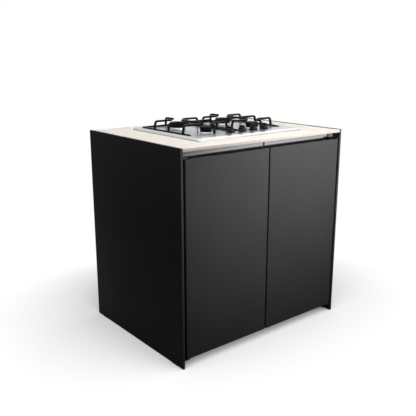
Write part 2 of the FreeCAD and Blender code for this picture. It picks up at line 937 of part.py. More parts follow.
def side_bar(x, front, rear):
    # Square bar whose front end slopes down to the tie strip.
    half = support_bar / 2
    corners = [
        V(x - half, front, bar_bottom),
        V(x - half, rear + half, bar_bottom),
        V(x - half, rear + half, bar_top),
        V(x - half, front + bar_nose, bar_top),
        V(x - half, front, bar_bottom + tie_height),
    ]
    return Part.Face(Part.makePolygon(corners + corners[:1])).extrude(V(support_bar, 0, 0))


def pan_support(centre_x):
    left, right, rear, front = support_bars(centre_x)
    half = support_bar / 2
    foot = bar_bottom + half
    tie_y = front + tie_width / 2
    pieces = [
        side_bar(left, front, rear),
        side_bar(right, front, rear),
        box(left, right, rear - half, rear + half, bar_bottom, bar_top),
        box(left, right, front, front + tie_width, bar_bottom, bar_bottom + tie_height),
    ]
    for y in (rear_burner_y, front_burner_y - front_finger_shift):
        for base, lean, tip in ((left, finger_lean, -finger_tip), (right, -finger_lean, finger_tip)):
            points = [V(base, y, foot), V(base + lean, y, finger_z), V(centre_x + tip, y, finger_z)]
            pieces.append(bent_bar(points, finger_bend, finger_bar))
    rear_tip = rear_burner_y + finger_tip
    front_tip = front_burner_y - finger_tip
    pieces.append(bent_bar([V(centre_x, rear, foot), V(centre_x, rear - rear_finger_lean, finger_z),
                            V(centre_x, rear_tip, finger_z)], finger_bend, finger_bar))
    pieces.append(bent_bar([V(centre_x, tie_y, bar_bottom + tie_height / 2), V(centre_x, tie_y, finger_z),
                            V(centre_x, front_tip, finger_z)], finger_bend, finger_bar))
    pieces.append(bent_bar([V(left, support_cross_y, foot), V(left + finger_lean, support_cross_y, finger_z),
                            V(right - finger_lean, support_cross_y, finger_z), V(right, support_cross_y, foot)],
                           finger_bend, finger_bar))
    pieces.append(box(centre_x - finger_bar / 2, centre_x + finger_bar / 2, front_burner_y + finger_tip,
                      rear_burner_y - finger_tip, finger_z - finger_bar / 2, finger_z + finger_bar / 2))
    return union(pieces)


def support_feet(centre_x):
    left, right, rear, front = support_bars(centre_x)
    half = support_bar / 2
    feet = []
    for x in (left, right):
        for y0 in (front, rear + half - support_foot_length):
            feet.append(box(x - half, x + half, y0, y0 + support_foot_length, field_z, bar_bottom))
    return group(feet)


# Every piece under its own name

pieces = {
    "base_panel": base_panel(),
    "back_panel": back_panel(),
    "hose_grommet": hose_grommet(),
    "front_rail": front_rail(),
    "rear_rail": rear_rail(),
    "worktop": worktop(),
    "panel_glides": panel_glides(),
    "channel_end_caps": channel_end_caps(),
    "hinge_brackets": hinge_brackets(),
    "hinge_bushes": hinge_bushes(),
    "magnet_catches": magnet_catches(),
    "fixing_screws": group([screw(*item) for item in screw_list()]),
    "hob_tray": hob_tray(),
    "hob_seal": hob_seal(),
    "hob_underbox": hob_underbox(),
    "hob_clamps": hob_clamps(),
    "burner_cups": group([burner_cup(x, y, radius) for name, x, y, radius in BURNERS]),
    "flame_rings": group([flame_ring(x, y, radius) for name, x, y, radius in BURNERS]),
    "spark_electrodes": probes(electrode_angle),
    "thermocouples": probes(thermocouple_angle),
    "knob_bezels": knob_bezels(),
    "knob_seals": knob_seals(),
    "gas_valves": gas_valves(),
    "gas_manifold": gas_manifold(),
    "gas_inlet": gas_inlet(),
    "feed_tubes": feed_tubes(),
    "ignition_box": ignition_box(),
}
for name, side in SIDES:
    pieces[name + "_side_panel"] = side_panel(side)
    pieces[name + "_carcass_side"] = carcass_side(side)
    pieces[name + "_grip_channel"] = grip_channel(side)
    pieces[name + "_door"] = door(side)
    pieces[name + "_door_pins"] = door_pins(side)
    pieces[name + "_strike_plate"] = strike_plate(side)
    pieces[name + "_pan_support"] = pan_support(side * burner_x)
    pieces[name + "_support_feet"] = support_feet(side * burner_x)
caps = {name: burner_cap(x, y, radius) for name, x, y, radius in BURNERS}
pieces["rear_burner_caps"] = group([caps["rear_left"], caps["rear_right"]])
pieces["front_left_burner_cap"] = caps["front_left"]
pieces["front_right_burner_cap"] = caps["front_right"]
for number, x in enumerate(KNOB_XS, 1):
    pieces["knob_%d" % number] = knob(x)
    pieces["knob_spindle_%d" % number] = knob_spindle(x)
    pieces["valve_plunger_%d" % number] = valve_plunger(x)

os.makedirs("parts", exist_ok=True)
for name, shape in pieces.items():
    shape.exportStep("parts/%s.step" % name)
    print("%-24s solids %2d  volume %.0f  valid %s" % (name, len(shape.Solids), shape.Volume, shape.isValid()))
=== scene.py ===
import bpy
import bmesh
import json
import math
from mathutils import Matrix, Vector


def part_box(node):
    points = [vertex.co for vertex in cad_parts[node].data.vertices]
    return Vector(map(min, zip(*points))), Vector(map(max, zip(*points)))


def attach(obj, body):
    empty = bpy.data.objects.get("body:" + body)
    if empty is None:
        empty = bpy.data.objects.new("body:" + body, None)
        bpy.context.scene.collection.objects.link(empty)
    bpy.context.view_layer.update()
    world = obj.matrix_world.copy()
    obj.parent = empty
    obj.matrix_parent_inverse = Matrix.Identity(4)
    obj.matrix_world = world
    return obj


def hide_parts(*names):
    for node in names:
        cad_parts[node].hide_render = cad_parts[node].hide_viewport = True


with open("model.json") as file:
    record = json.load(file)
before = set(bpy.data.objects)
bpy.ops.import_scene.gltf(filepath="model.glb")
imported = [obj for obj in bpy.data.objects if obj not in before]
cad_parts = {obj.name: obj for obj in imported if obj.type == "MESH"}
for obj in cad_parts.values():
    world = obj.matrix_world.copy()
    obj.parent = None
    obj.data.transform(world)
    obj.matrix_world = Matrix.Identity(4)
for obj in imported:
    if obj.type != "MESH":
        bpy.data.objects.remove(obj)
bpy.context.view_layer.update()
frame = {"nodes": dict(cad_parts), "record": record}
scene = bpy.context.scene
scene.view_settings.view_transform = "Standard"
cadNodes = frame["nodes"]
sides = ("left", "right")
knobNumbers = (1, 2, 3, 4)
print("frame loaded:", len(cadNodes), "nodes")


# camera from the photograph
cameraSetup = {
    "place": (-1.7077, -2.0530, 1.2388),
    "azimuth": -38.93,
    "elevation": 14.85,
    "lens": 50.5,
    "sensor": 36.0,
    "clip": (0.05, 100.0),
}


def makeCamera():
    data = bpy.data.cameras.new("camera")
    data.lens = cameraSetup["lens"]
    data.sensor_width = cameraSetup["sensor"]
    data.clip_start, data.clip_end = cameraSetup["clip"]
    camera = bpy.data.objects.new("camera", data)
    scene.collection.objects.link(camera)
    turn = math.radians(cameraSetup["azimuth"])
    rise = math.radians(cameraSetup["elevation"])
    back = Vector((math.sin(turn) * math.cos(rise), -math.cos(turn) * math.cos(rise), math.sin(rise)))
    camera.location = cameraSetup["place"]
    camera.rotation_mode = "QUATERNION"
    camera.rotation_quaternion = (-back).to_track_quat("-Z", "Y")
    scene.camera = camera


makeCamera()
print("camera placed")


# node helpers
def link(tree, source, target):
    tree.links.new(source, target)


def mathNode(tree, operation, *values):
    # each value is a number or the output of another node
    node = tree.nodes.new("ShaderNodeMath")
    node.operation = operation
    for socket, value in zip(node.inputs, values):
        if isinstance(value, (int, float)):
            socket.default_value = value
        else:
            link(tree, value, socket)
    return node.outputs[0]


def rangeNode(tree, value, source, target):
    # maps one range of values to another
    node = tree.nodes.new("ShaderNodeMapRange")
    for name, level in zip(("From Min", "From Max", "To Min", "To Max"), (*source, *target)):
        node.inputs[name].default_value = level
    link(tree, value, node.inputs["Value"])
    return node.outputs["Result"]


def distanceNode(tree, place, centre):
    node = tree.nodes.new("ShaderNodeVectorMath")
    node.operation = "DISTANCE"
    node.inputs[1].default_value = centre
    link(tree, place, node.inputs[0])
    return node.outputs["Value"]


def shaderMix(tree, share, first, second):
    node = tree.nodes.new("ShaderNodeMixShader")
    link(tree, share, node.inputs["Fac"])
    link(tree, first, node.inputs[1])
    link(tree, second, node.inputs[2])
    return node.outputs[0]


def groupTree(name, kind, inputs, outputs):
    # node group with named sockets, given back with its input node and its output node
    tree = bpy.data.node_groups.new(name, kind)
    for socketName, socketKind, *value in inputs:
        socket = tree.interface.new_socket(socketName, in_out="INPUT", socket_type="NodeSocket" + socketKind)
        if value:
            socket.default_value = value[0]
    for socketName, socketKind in outputs:
        tree.interface.new_socket(socketName, in_out="OUTPUT", socket_type="NodeSocket" + socketKind)
    return tree, tree.nodes.new("NodeGroupInput"), tree.nodes.new("NodeGroupOutput")


# finishes
grainSetup = {"Fine": 3.0, "Broad": 2.0, "roughness": 0.55}


def makeGrainGroup():
    # fine and broad variation on object coordinates, stretched along an axis where a finish is brushed
    tree, start, finish = groupTree(
        "surfaceGrain", "ShaderNodeTree",
        [("Fine Scale", "Float", 800.0), ("Broad Scale", "Float", 6.0),
         ("Stretch", "Vector", (1.0, 1.0, 1.0))],
        [("Fine", "Float"), ("Broad", "Float")],
    )
    coordinates = tree.nodes.new("ShaderNodeTexCoord")
    scaled = tree.nodes.new("ShaderNodeVectorMath")
    scaled.operation = "MULTIPLY"
    link(tree, coordinates.outputs["Object"], scaled.inputs[0])
    link(tree, start.outputs["Stretch"], scaled.inputs[1])
    for name, source in (("Fine", scaled.outputs[0]), ("Broad", coordinates.outputs["Object"])):
        noise = tree.nodes.new("ShaderNodeTexNoise")
        noise.inputs["Detail"].default_value = grainSetup[name]
        noise.inputs["Roughness"].default_value = grainSetup["roughness"]
        link(tree, source, noise.inputs["Vector"])
        link(tree, start.outputs[name + " Scale"], noise.inputs["Scale"])
        link(tree, noise.outputs["Fac"], finish.inputs[name])
    return tree


def makeToneGroup():
    # two tones mixed by a mask, and a roughness that follows the same mask
    tree, start, finish = groupTree(
        "toneByMask", "ShaderNodeTree",
        [("Mask", "Float", 0.5), ("Contrast", "Float", 1.0), ("Dark", "Color", (0.1, 0.1, 0.1, 1.0)),
         ("Light", "Color", (0.2, 0.2, 0.2, 1.0)), ("Smooth", "Float", 0.3), ("Rough", "Float", 0.5)],
        [("Color", "Color"), ("Roughness", "Float")],
    )
    centred = mathNode(tree, "SUBTRACT", start.outputs["Mask"], 0.5)
    stretched = mathNode(tree, "MULTIPLY_ADD", centred, start.outputs["Contrast"], 0.5)
    stretched.node.use_clamp = True
    # the colour sockets of the mix node are found by number, since their names repeat
    mixed = tree.nodes.new("ShaderNodeMix")
    mixed.data_type = "RGBA"
    link(tree, stretched, mixed.inputs["Factor"])
    link(tree, start.outputs["Dark"], mixed.inputs[6])
    link(tree, start.outputs["Light"], mixed.inputs[7])
    ranged = tree.nodes.new("ShaderNodeMapRange")
    link(tree, stretched, ranged.inputs["Value"])
    link(tree, start.outputs["Smooth"], ranged.inputs["To Min"])
    link(tree, start.outputs["Rough"], ranged.inputs["To Max"])
    link(tree, mixed.outputs[2], finish.inputs["Color"])
    link(tree, ranged.outputs["Result"], finish.inputs["Roughness"])
    return tree


grainGroup = makeGrainGroup()
toneGroup = makeToneGroup()

# one entry of values for each finish
finishes = {
    "darkLaminate": {
        "dark": (0.094, 0.094, 0.096), "light": (0.108, 0.108, 0.110), "smooth": 0.50, "rough": 0.58,
        "fine": 1400, "broad": 5, "use": "Broad", "contrast": 1.5, "bump": 0.03, "depth": 0.00005,
        "specular": 0.006,
    },
    "carcassBoard": {
        "dark": (0.026, 0.026, 0.027), "light": (0.034, 0.034, 0.035), "smooth": 0.6, "rough": 0.7,
        "fine": 900, "broad": 8, "use": "Broad", "contrast": 1.5, "bump": 0.04, "depth": 0.0001,
        "specular": 0.1,
    },
    "paleSlab": {
        "dark": (0.81, 0.745, 0.665), "light": (0.89, 0.845, 0.775), "smooth": 0.42, "rough": 0.58,
        "fine": 260, "broad": 14, "use": "Fine", "contrast": 2.2, "bump": 0.05, "depth": 0.0001,
        "specular": 0.15,
    },
    "hobSteel": {
        "dark": (0.47, 0.47, 0.475), "light": (0.56, 0.56, 0.565), "smooth": 0.26, "rough": 0.36,
        "fine": 900, "broad": 6, "use": "Fine", "contrast": 1.6, "bump": 0.05, "depth": 0.00004,
        "stretch": (0.03, 1.0, 1.0), "metal": 1.0,
    },
    "plainSteel": {
        "dark": (0.48, 0.48, 0.49), "light": (0.58, 0.58, 0.59), "smooth": 0.3, "rough": 0.42,
        "fine": 500, "broad": 20, "use": "Broad", "contrast": 2.0, "bump": 0.04, "depth": 0.0001,
        "metal": 1.0,
    },
    "channelAluminium": {
        "dark": (0.42, 0.42, 0.425), "light": (0.48, 0.48, 0.485), "smooth": 0.07, "rough": 0.12,
        "fine": 1100, "broad": 5, "use": "Fine", "contrast": 1.5, "bump": 0.05, "depth": 0.00004,
        "stretch": (0.02, 1.0, 1.0), "metal": 1.0,
    },
    "burnerCast": {
        "dark": (0.62, 0.62, 0.62), "light": (0.74, 0.74, 0.74), "smooth": 0.32, "rough": 0.48,
        "fine": 700, "broad": 30, "use": "Fine", "contrast": 2.0, "bump": 0.08, "depth": 0.0001,
        "metal": 1.0,
    },
    "burnerEnamel": {
        "dark": (0.006, 0.006, 0.006), "light": (0.013, 0.013, 0.013), "smooth": 0.40, "rough": 0.52,
        "fine": 1200, "broad": 30, "use": "Fine", "contrast": 2.0, "bump": 0.08, "depth": 0.0001,
        "specular": 0.03,
    },
    "supportEnamel": {
        "dark": (0.004, 0.004, 0.004), "light": (0.008, 0.008, 0.008), "smooth": 0.2, "rough": 0.32,
        "fine": 500, "broad": 40, "use": "Broad", "contrast": 2.0, "bump": 0.08, "depth": 0.0002,
        "specular": 0.05,
    },
    "valveBrass": {
        "dark": (0.52, 0.34, 0.12), "light": (0.66, 0.47, 0.2), "smooth": 0.25, "rough": 0.4,
        "fine": 800, "broad": 30, "use": "Fine", "contrast": 1.5, "bump": 0.04, "depth": 0.0001,
        "metal": 1.0,
    },
    "blackRubber": {
        "dark": (0.010, 0.010, 0.010), "light": (0.018, 0.018, 0.018), "smooth": 0.65, "rough": 0.8,
        "fine": 900, "broad": 40, "use": "Fine", "contrast": 1.8, "bump": 0.12, "depth": 0.0002,
        "specular": 0.25,
    },
    "paleRubber": {
        "dark": (0.56, 0.545, 0.52), "light": (0.64, 0.62, 0.59), "smooth": 0.65, "rough": 0.8,
        "fine": 900, "broad": 40, "use": "Fine", "contrast": 1.8, "bump": 0.1, "depth": 0.0001,
        "specular": 0.2,
    },
    "blackPlastic": {
        "dark": (0.012, 0.012, 0.012), "light": (0.020, 0.020, 0.020), "smooth": 0.42, "rough": 0.55,
        "fine": 1500, "broad": 30, "use": "Fine", "contrast": 1.8, "bump": 0.12, "depth": 0.0001,
        "specular": 0.35,
    },
    "knobPlastic": {
        "dark": (0.007, 0.007, 0.007), "light": (0.012, 0.012, 0.012), "smooth": 0.28, "rough": 0.4,
        "fine": 1500, "broad": 60, "use": "Fine", "contrast": 1.8, "bump": 0.08, "depth": 0.0001,
        "specular": 0.08,
    },
    "darkCeramic": {
        "dark": (0.030, 0.026, 0.022), "light": (0.050, 0.044, 0.038), "smooth": 0.2, "rough": 0.32,
        "fine": 600, "broad": 60, "use": "Broad", "contrast": 1.5, "bump": 0.03, "depth": 0.0001,
        "specular": 0.5,
    },
    "darkSteel": {
        "dark": (0.010, 0.010, 0.010), "light": (0.016, 0.016, 0.016), "smooth": 0.45, "rough": 0.6,
        "fine": 900, "broad": 30, "use": "Fine", "contrast": 1.5, "bump": 0.05, "depth": 0.0001,
        "specular": 0.1,
    },
}


def makeFinish(name, look):
    material = bpy.data.materials.new(name)
    material.use_nodes = True
    tree = material.node_tree
    shader = tree.nodes["Principled BSDF"]
    grain = tree.nodes.new("ShaderNodeGroup")
    grain.node_tree = grainGroup
    grain.inputs["Fine Scale"].default_value = look["fine"]
    grain.inputs["Broad Scale"].default_value = look["broad"]
    grain.inputs["Stretch"].default_value = look.get("stretch", (1.0, 1.0, 1.0))
    tone = tree.nodes.new("ShaderNodeGroup")
    tone.node_tree = toneGroup
    tone.inputs["Contrast"].default_value = look["contrast"]
    tone.inputs["Dark"].default_value = (*look["dark"], 1.0)
    tone.inputs["Light"].default_value = (*look["light"], 1.0)
    tone.inputs["Smooth"].default_value = look["smooth"]
    tone.inputs["Rough"].default_value = look["rough"]
    bump = tree.nodes.new("ShaderNodeBump")
    bump.inputs["Strength"].default_value = look["bump"]
    bump.inputs["Distance"].default_value = look["depth"]
    link(tree, grain.outputs[look["use"]], tone.inputs["Mask"])
    link(tree, tone.outputs["Color"], shader.inputs["Base Color"])
    link(tree, tone.outputs["Roughness"], shader.inputs["Roughness"])
    link(tree, grain.outputs["Fine"], bump.inputs["Height"])
    link(tree, bump.outputs["Normal"], shader.inputs["Normal"])
    shader.inputs["Metallic"].default_value = look.get("metal", 0.0)
    shader.inputs["Specular IOR Level"].default_value = look.get("specular", 0.5)
    return material


materials = {name: makeFinish(name, look) for name, look in finishes.items()}

# record slot to finish
slotFinish = {
    "dark_laminate": "darkLaminate",
    "carcass_board": "carcassBoard",
    "pale_slab": "paleSlab",
    "hob_steel": "hobSteel",
    "plain_steel": "plainSteel",
    "channel_aluminium": "channelAluminium",
    "burner_aluminium": "burnerCast",
    "burner_black": "burnerEnamel",
    "support_black": "supportEnamel",
    "valve_brass": "valveBrass",
    "black_rubber": "blackRubber",
    "pale_rubber": "paleRubber",
    "black_plastic": "blackPlastic",
    "knob_plastic": "knobPlastic",
    "dark_ceramic": "darkCeramic",
    "dark_steel": "darkSteel",
}
for subpart in frame["record"]["subparts"]:
    cadMesh = cadNodes[subpart["node"]].data
    cadMesh.materials.clear()
    cadMesh.materials.append(materials[slotFinish[subpart["material_slot"]]])
print("finishes made:", len(materials))


# mesh helpers
meshSetup = {"sharpAngle": 35, "cornerShare": 0.48, "cornerSteps": 4, "turnSteps": 64, "weld": 1e-6}


def finishPiece(mesh, name, body, slotName, replaced, sharpAngle=meshSetup["sharpAngle"]):
    mesh.name = name
    mesh.materials.clear()
    mesh.materials.append(materials[slotFinish[slotName]])
    for polygon in mesh.polygons:
        polygon.use_smooth = True
    mesh.set_sharp_from_angle(angle=math.radians(sharpAngle))
    piece = bpy.data.objects.new(name, mesh)
    scene.collection.objects.link(piece)
    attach(piece, body)
    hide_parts(*replaced)


def meshFrom(bm, name="blank"):
    mesh = bpy.data.meshes.new(name)
    bm.to_mesh(mesh)
    bm.free()
    return mesh


def helperObject(mesh):
    helper = bpy.data.objects.new("helper", mesh)
    scene.collection.objects.link(helper)
    return helper


def shapedMesh(helper):
    # the mesh that the helper's modifiers make, after which the helper goes
    made = bpy.data.meshes.new_from_object(helper.evaluated_get(bpy.context.evaluated_depsgraph_get()))
    bpy.data.objects.remove(helper)
    return made


def carved(mesh, cutterMeshes):
    # the mesh with the shapes of the cutters taken out of it
    blank = helperObject(mesh)
    cutters = [helperObject(cutterMesh) for cutterMesh in cutterMeshes]
    for cutter in cutters:
        cut = blank.modifiers.new("cut", "BOOLEAN")
        cut.operation = "DIFFERENCE"
        cut.solver = "EXACT"
        cut.object = cutter
    made = shapedMesh(blank)
    for cutter in cutters:
        bpy.data.objects.remove(cutter)
    return made


def softCorners(points, reach, steps=meshSetup["cornerSteps"]):
    # replaces each inner corner by a short curve that starts and ends a given reach away
    points = [Vector(p) for p in points]
    made = [points[0]]
    for i in range(1, len(points) - 1):
        before, corner, after = points[i - 1], points[i], points[i + 1]
        room = min((before - corner).length, (after - corner).length) * meshSetup["cornerShare"]
        size = min(reach[i] if isinstance(reach, (list, tuple)) else reach, room)
        first = corner + (before - corner).normalized() * size
        last = corner + (after - corner).normalized() * size
        for k in range(steps + 1):
            t = k / steps
            made.append(first * (1 - t) ** 2 + corner * 2 * t * (1 - t) + last * t ** 2)
    made.append(points[-1])
    return made


def softOutline(pairs, reach, steps=meshSetup["cornerSteps"]):
    # radius and height pairs with soft corners
    return [(p.x, p.z) for p in softCorners([(radius, 0, height) for radius, height in pairs], reach, steps)]


def addSlab(bm, low, high, edge, segments=3):
    made = bmesh.ops.create_cube(bm, size=1.0)
    size = Vector(high) - Vector(low)
    centre = (Vector(high) + Vector(low)) / 2
    for vert in made["verts"]:
        vert.co = Vector(vert.co[i] * size[i] + centre[i] for i in range(3))
    edges = {e for vert in made["verts"] for e in vert.link_edges}
    bmesh.ops.bevel(bm, geom=list(edges), offset=edge, segments=segments, profile=0.5, affect="EDGES")


def addTurned(bm, outline, centre, steps=meshSetup["turnSteps"], axis="Z"):
    # closed body of revolution from radius and height pairs that start and end on the axis or join up
    rings = []
    for radius, height in outline:
        ring = []
        for k in range(steps):
            angle = 2 * math.pi * k / steps
            if axis == "Z":
                offset = Vector((radius * math.cos(angle), radius * math.sin(angle), height))
            else:
                offset = Vector((radius * math.cos(angle), height, -radius * math.sin(angle)))
            ring.append(bm.verts.new(Vector(centre) + offset))
        rings.append(ring)
    for lower, upper in zip(rings, rings[1:]):
        joinRings(bm, lower, upper)


def joinRings(bm, lower, upper):
    count = len(lower)
    for k in range(count):
        bm.faces.new((lower[k], lower[(k + 1) % count], upper[(k + 1) % count], upper[k]))


def weldMesh(bm):
    bmesh.ops.remove_doubles(bm, verts=bm.verts, dist=meshSetup["weld"])
    bmesh.ops.recalc_face_normals(bm, faces=bm.faces)


def middle(node):
    low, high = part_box(node)
    return (low + high) / 2


# doors and outer panels
boardSetup = {"doorEdge": 0.0012, "panelEdge": 0.0008}


def makeBoard(node, name, body, edge):
    low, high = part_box(node)
    bm = bmesh.new()
    addSlab(bm, low, high, edge)
    finishPiece(meshFrom(bm), name, body, "dark_laminate", [node])


for side in sides:
    makeBoard(side + "_door", side + "DoorLeaf", side + "_door_leaf", boardSetup["doorEdge"])
    makeBoard(side + "_side_panel", side + "OuterPanel", "cabinet", boardSetup["panelEdge"])
print("doors and outer panels made")


# worktop with its cut-out
worktopSetup = {"edge": 0.0007, "overlapX": 0.015, "overlapY": 0.010, "cutReach": 0.02, "cutEdge": 0.004}


def makeWorktop():
    low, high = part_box("worktop")
    trayLow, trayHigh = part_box("hob_tray")
    overlapX = worktopSetup["overlapX"]
    overlapY = worktopSetup["overlapY"]
    reach = worktopSetup["cutReach"]
    bm = bmesh.new()
    addSlab(bm, low, high, worktopSetup["edge"])
    slab = meshFrom(bm)
    bm = bmesh.new()
    addSlab(bm, (trayLow.x + overlapX, trayLow.y + overlapY, low.z - reach),
            (trayHigh.x - overlapX, trayHigh.y - overlapY, high.z + reach), worktopSetup["cutEdge"])
    finishPiece(carved(slab, [meshFrom(bm)]), "worktopSlab", "cabinet", "pale_slab", ["worktop"])


makeWorktop()
print("worktop made")


# grip channel behind the door tops
channelSetup = {"wall": 0.0015, "round": 0.0095, "roofRound": 0.0002, "steps": 10, "endRoom": 0.001}


def channelLine(low, high, inset, floorRound):
    # along the floor to the back wall, up it, and back along the roof
    return softCorners([(0, low.y, low.z + inset), (0, high.y - inset, low.z + inset),
                        (0, high.y - inset, high.z - inset), (0, low.y, high.z - inset)],
                       [0, floorRound, channelSetup["roofRound"], 0], channelSetup["steps"])


def makeChannel(side):
    low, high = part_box(side + "_grip_channel")
    wall = channelSetup["wall"]
    outer = channelLine(low, high, 0, channelSetup["round"])
    inner = channelLine(low, high, wall, channelSetup["round"] - wall)
    room = channelSetup["endRoom"]
    ends = (low.x, high.x - room) if side == "left" else (low.x + room, high.x)
    bm = bmesh.new()
    loops = [[bm.verts.new((x, p.y, p.z)) for p in outer + inner[::-1]] for x in ends]
    joinRings(bm, *loops)
    count = len(loops[0])
    for loop in loops:
        for k in range(count // 2 - 1):
            bm.faces.new((loop[k], loop[k + 1], loop[count - 2 - k], loop[count - 1 - k]))
    weldMesh(bm)
    finishPiece(meshFrom(bm), side + "GripRail", "cabinet", "channel_aluminium", [side + "_grip_channel"])


for side in sides:
    makeChannel(side)
print("grip channels made")


# pressed hob tray
traySetup = {
    "sheet": 0.0012,
    "flange": 0.010,
    "edgeHeight": 0.0035,
    "bevelWidth": 0.014,
    "ridgeWidth": 0.004,
    "slope": 0.004,
    "sink": 0.005,
    "frontStrip": 0.092,
    "fieldMargin": 0.012,
    "rounds": (0, 0.0008, 0.0016, 0.003, 0.0018, 0.003, 0),
    "corner": 0.011,
    "cornerSteps": 8,
}


def roundedLoop(bm, halfX, yLow, yHigh, z):
    loop = []
    radius = traySetup["corner"]
    steps = traySetup["cornerSteps"]
    corners = ((halfX - radius, yLow + radius, -90), (halfX - radius, yHigh - radius, 0),
               (radius - halfX, yHigh - radius, 90), (radius - halfX, yLow + radius, 180))
    for x, y, startAngle in corners:
        for k in range(steps + 1):
            angle = math.radians(startAngle + 90 * k / steps)
            loop.append(bm.verts.new((x + radius * math.cos(angle), y + radius * math.sin(angle), z)))
    return loop


def makeHobTray():
    low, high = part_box("hob_tray")
    halfX = (high.x - low.x) / 2
    bevel = traySetup["bevelWidth"]
    flange = traySetup["flange"]
    ridge = bevel + traySetup["ridgeWidth"]
    field = ridge + traySetup["slope"]
    fieldFront = traySetup["frontStrip"] + traySetup["slope"]
    floorZ = high.z - traySetup["sink"]
    margin = traySetup["fieldMargin"]
    # inset from the sides, inset from the front, height
    section = softCorners(
        [(flange, flange, low.z), (0, 0, low.z), (0, 0, low.z + traySetup["edgeHeight"]),
         (bevel, bevel, high.z), (ridge, traySetup["frontStrip"], high.z), (field, fieldFront, floorZ),
         (field + margin, fieldFront + margin, floorZ)],
        traySetup["rounds"],
    )
    bm = bmesh.new()
    loops = [roundedLoop(bm, halfX - p.x, low.y + p.y, high.y - p.x, p.z) for p in section]
    for lower, upper in zip(loops, loops[1:]):
        joinRings(bm, lower, upper)
    bm.faces.new(loops[-1])
    bmesh.ops.recalc_face_normals(bm, faces=bm.faces)
    if bm.faces[-1].normal.z < 0:
        bmesh.ops.reverse_faces(bm, faces=bm.faces)
    tray = helperObject(meshFrom(bm))
    thick = tray.modifiers.new("sheet", "SOLIDIFY")
    thick.thickness = traySetup["sheet"]
    thick.offset = -1.0
    finishPiece(shapedMesh(tray), "hobPressing", "cabinet", "hob_steel", ["hob_tray"])


makeHobTray()
print("hob tray made")


# burners
burnerSetup = {
    "ringHeight": 0.006,
    "ringOverhang": 0.003,
    "ringBevel": (0.003, 0.002),
    "ringRounds": (0, 0.001, 0.0003, 0.0006, 0.0015, 0.0015, 0),
    "neckInset": 0.012,
    "crownHeight": 0.012,
    "crownWall": 0.008,
    "crownSteps": 72,
    "portHeight": 0.004,
    "portWidth": 0.002,
    "portPitch": 0.009,
    "capHeight": 0.012,
    "capOverhang": 0.0015,
    "capRimDrop": 0.0012,
    "capCrest": 0.55,
    "capCrestDrop": 0.0002,
    "capRounds": (0, 0.0005, 0.0003, 0.0008, 0.005, 0.008, 0),
    "capRoundSteps": 6,
    "capSteps": 72,
    "spigotGap": 0.0004,
    "spigotDepth": 0.003,
}


def burnerPlaces():
    low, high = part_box("rear_burner_caps")
    overhang = burnerSetup["capOverhang"]
    radius = (high.y - low.y) / 2
    places = {
        "rearLeft": (low.x + radius, (low.y + high.y) / 2, radius - overhang),
        "rearRight": (high.x - radius, (low.y + high.y) / 2, radius - overhang),
    }
    for name, node in (("frontLeft", "front_left_burner_cap"), ("frontRight", "front_right_burner_cap")):
        low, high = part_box(node)
        centre = middle(node)
        places[name] = (centre.x, centre.y, (high.x - low.x) / 2 - overhang)
    return places


burners = burnerPlaces()
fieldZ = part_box("hob_tray")[1].z - traySetup["sink"]
ringTop = fieldZ + burnerSetup["ringHeight"]
crownTop = ringTop + burnerSetup["crownHeight"]
capTop = crownTop + burnerSetup["capHeight"]


def makeBurnerBases():
    bm = bmesh.new()
    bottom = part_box("burner_cups")[0].z
    bevelWidth, bevelHeight = burnerSetup["ringBevel"]
    for x, y, radius in burners.values():
        outer = radius + burnerSetup["ringOverhang"]
        neck = radius - burnerSetup["neckInset"]
        outline = softOutline(
            [(0, bottom), (neck, bottom), (neck, fieldZ), (outer, fieldZ), (outer, ringTop - bevelHeight),
             (outer - bevelWidth, ringTop), (0, ringTop)],
            burnerSetup["ringRounds"],
        )
        addTurned(bm, outline, (x, y, 0))
    weldMesh(bm)
    finishPiece(meshFrom(bm), "burnerBases", "cabinet", "burner_aluminium", ["burner_cups"])


def makeCap(name, keys, replaced):
    bm = bmesh.new()
    foot = crownTop - burnerSetup["spigotDepth"]
    for key in keys:
        x, y, radius = burners[key]
        outer = radius + burnerSetup["capOverhang"]
        spigot = radius - burnerSetup["crownWall"] - burnerSetup["spigotGap"]
        outline = softOutline(
            [(0, foot), (spigot, foot), (spigot, crownTop), (outer, crownTop),
             (outer, capTop - burnerSetup["capRimDrop"]),
             (outer * burnerSetup["capCrest"], capTop - burnerSetup["capCrestDrop"]), (0, capTop)],
            burnerSetup["capRounds"], burnerSetup["capRoundSteps"],
        )
        addTurned(bm, outline, (x, y, 0), burnerSetup["capSteps"])
    weldMesh(bm)
    finishPiece(meshFrom(bm), name, "cabinet", "burner_black", replaced)


def liftNode(tree, shape, height):
    offset = tree.nodes.new("ShaderNodeCombineXYZ")
    link(tree, height, offset.inputs["Z"])
    node = tree.nodes.new("GeometryNodeTransform")
    link(tree, shape, node.inputs["Geometry"])
    link(tree, offset.outputs[0], node.inputs["Translation"])
    return node.outputs["Geometry"]


def endTree(tree, start, finish, shape):
    # makes instances real, gives the shape its finish and ends the tree
    real = tree.nodes.new("GeometryNodeRealizeInstances")
    coated = tree.nodes.new("GeometryNodeSetMaterial")
    link(tree, shape, real.inputs[0])
    link(tree, real.outputs[0], coated.inputs["Geometry"])
    link(tree, start.outputs["Finish"], coated.inputs["Material"])
    link(tree, coated.outputs["Geometry"], finish.inputs["Geometry"])


